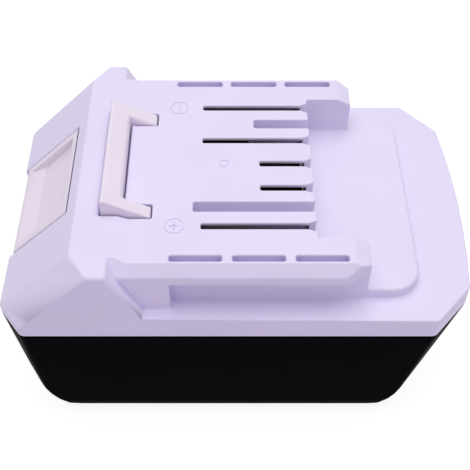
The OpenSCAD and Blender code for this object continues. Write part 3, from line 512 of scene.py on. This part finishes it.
# Raised marks on the contact platform: plus and minus in rings, and the gate of the mould, in mm
MARK_SINK = 0.05
MARK_RISE = 0.22
MARK_SLOPE = 0.1
RING_STEPS = 48
SIGN_RING, SIGN_LINE, SIGN_BAR = 2.5, 0.5, 2.6
GATE_RING, GATE_LINE = 1.3, 0.4
BAR_FACES = ((3, 2, 1, 0), (4, 5, 6, 7), (0, 1, 5, 4), (1, 2, 6, 5), (2, 3, 7, 6), (3, 0, 4, 7))


def raised(name, x, y, outer, line, bars):
    """A flat ring with straight bars in it, each bar given by its length along X and along Y."""
    low, high = (TOP - MARK_SINK) * MM, (TOP + MARK_RISE) * MM
    inner = outer - line
    section = ((outer, low), (outer - MARK_SLOPE, high), (inner + MARK_SLOPE, high), (inner, low))
    form = bmesh.new()
    loops = []
    for radius, height in section:
        loop = []
        for k in range(RING_STEPS):
            angle = 2 * math.pi * k / RING_STEPS
            place = (x + radius * math.cos(angle), y + radius * math.sin(angle))
            loop.append(form.verts.new((place[0] * MM, place[1] * MM, height)))
        loops.append(loop)
    for first, second in zip(loops, loops[1:] + loops[:1]):
        for k in range(RING_STEPS):
            form.faces.new((first[k - 1], first[k], second[k], second[k - 1]))
    for wide, deep in bars:
        corners = []
        for height, shrink in ((low, 0), (high, MARK_SLOPE)):
            a, b = wide / 2 - shrink, deep / 2 - shrink
            for dx, dy in ((-a, -b), (a, -b), (a, b), (-a, b)):
                corners.append(form.verts.new(((x + dx) * MM, (y + dy) * MM, height)))
        for face in BAR_FACES:
            form.faces.new([corners[k] for k in face])
    bmesh.ops.recalc_face_normals(form, faces=form.faces)
    mesh = bpy.data.meshes.new(name)
    form.to_mesh(mesh)
    form.free()
    linked(name, mesh, "cover_lilac", "pack")


along_x, along_y = (SIGN_BAR, SIGN_LINE), (SIGN_LINE, SIGN_BAR)
raised("plus_mark", MARK_X, -MARK_Y, SIGN_RING, SIGN_LINE, [along_x, along_y])
raised("minus_mark", MARK_X, MARK_Y, SIGN_RING, SIGN_LINE, [along_y])
raised("gate_mark", GATE_X, 0, GATE_RING, GATE_LINE, [])


# Latch springs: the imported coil, drawn finer
WIRE_RADIUS = 0.35
WIRE_SIDES = 14
COIL_TURNS = 6
TURN_STEPS = 40


def coil(node):
    """A round wire in the place of a packed spring, at its length at rest. The real spring shortens
    as the latch goes down; this wire keeps its length.
    """
    low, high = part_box(node)
    wire = WIRE_RADIUS * MM
    mean = (high.x - low.x) / 2 - wire
    centre = (low + high) / 2
    count = COIL_TURNS * TURN_STEPS
    form = bmesh.new()
    loops = []
    for k in range(count + 1):
        angle = 2 * math.pi * k / TURN_STEPS
        rise = low.z + wire + (high.z - low.z - 2 * wire) * k / count
        loop = []
        for j in range(WIRE_SIDES):
            b = 2 * math.pi * j / WIRE_SIDES
            out = mean + wire * math.cos(b)
            loop.append(form.verts.new((centre.x + out * math.cos(angle),
                                        centre.y + out * math.sin(angle),
                                        rise + wire * math.sin(b))))
        loops.append(loop)
    for first, second in zip(loops, loops[1:]):
        for j in range(WIRE_SIDES):
            form.faces.new((first[j], second[j], second[j - 1], first[j - 1])).smooth = True
    form.faces.new(loops[0])
    form.faces.new(loops[-1][::-1])
    bmesh.ops.recalc_face_normals(form, faces=form.faces)
    mesh = bpy.data.meshes.new(node + "_coil")
    form.to_mesh(mesh)
    form.free()
    made = linked(node + "_coil", mesh, "spring_steel", "pack", [node])
    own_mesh(made)


coil("latch_spring_front")
coil("latch_spring_rear")


# Floor, background and light, in metres
FLOOR_REACH = 3.0
FLOOR_GAP = 0.00005
FLOOR_BOUNCE = (0.72, 0.66, 0.77, 1)
FLOOR_SHADE = (0.22, 0.22, 0.22, 1)
FLOOR_GLOW = 0.88
FILL_COLOUR = (0.96, 0.91, 1.0, 1)
FILL_STRENGTH = 0.43
WHITE = (1, 1, 1, 1)


def shader(tree, kind, **sockets):
    """A new node in a tree, with its values."""
    made = tree.nodes.new("ShaderNode" + kind)
    for name, value in sockets.items():
        made.inputs[name].default_value = value
    return made


def straight_look(tree):
    """1 for what the camera sees directly, in a mirror or through glass, and 0 for other light."""
    path = shader(tree, "LightPath")
    total = path.outputs["Is Camera Ray"]
    for name in ("Is Glossy Ray", "Is Transmission Ray"):
        larger = shader(tree, "Math")
        larger.operation = "MAXIMUM"
        tree.links.new(total, larger.inputs[0])
        tree.links.new(path.outputs[name], larger.inputs[1])
        total = larger.outputs[0]
    return total


def by_look(tree, other_light, seen):
    """One shader for what is seen by a straight look, and another for other light."""
    choice = shader(tree, "MixShader")
    sources = (straight_look(tree), other_light.outputs[0], seen.outputs[0])
    for socket, source in zip(choice.inputs, sources):
        tree.links.new(source, socket)
    return choice.outputs[0]


floor_mesh = bpy.data.meshes.new("floor")
level = cad_box[0].z - FLOOR_GAP
floor_corners = [(x * FLOOR_REACH, y * FLOOR_REACH, level)
                 for x, y in ((-1, -1), (1, -1), (1, 1), (-1, 1))]
floor_mesh.from_pydata(floor_corners, [], [(0, 1, 2, 3)])
floor = bpy.data.objects.new("floor", floor_mesh)
scene.collection.objects.link(floor)

floor_paint = bpy.data.materials.new("floor_white")
floor_paint.use_nodes = True
ground = floor_paint.node_tree
ground.nodes.clear()
bounce = shader(ground, "BsdfDiffuse", Color=FLOOR_BOUNCE)
shade = shader(ground, "BsdfDiffuse", Color=FLOOR_SHADE)
glow = shader(ground, "Emission", Strength=FLOOR_GLOW)
both = shader(ground, "AddShader")
ground.links.new(shade.outputs[0], both.inputs[0])
ground.links.new(glow.outputs[0], both.inputs[1])
ground_out = shader(ground, "OutputMaterial")
ground.links.new(by_look(ground, bounce, both), ground_out.inputs["Surface"])
floor_mesh.materials.append(floor_paint)

world = bpy.data.worlds.new("studio")
scene.world = world
world.use_nodes = True
sky = world.node_tree
sky.nodes.clear()
fill = shader(sky, "Background", Color=FILL_COLOUR, Strength=FILL_STRENGTH)
white = shader(sky, "Background", Color=WHITE)
sky_out = shader(sky, "OutputWorld")
sky.links.new(by_look(sky, fill, white), sky_out.inputs["Surface"])


def lamp(name, place, aim, size, watts, colour=(1, 1, 1)):
    """A square lamp, turned to what it is aimed at."""
    data = bpy.data.lights.new(name, "AREA")
    data.shape = "SQUARE"
    data.size = size
    data.energy = watts
    data.color = colour
    made = bpy.data.objects.new(name, data)
    made.location = place
    made.rotation_euler = (Vector(aim) - Vector(place)).to_track_quat("-Z", "Y").to_euler()
    scene.collection.objects.link(made)


lamp("overhead", place=(0.04, 0.05, 1.0), aim=(0, 0, 0.03), size=1.0, watts=7.1)
lamp("front", place=(0, -0.9, 0.3), aim=(0, 0, 0.04), size=0.9, watts=1.0,
     colour=(0.92, 0.72, 1.0))
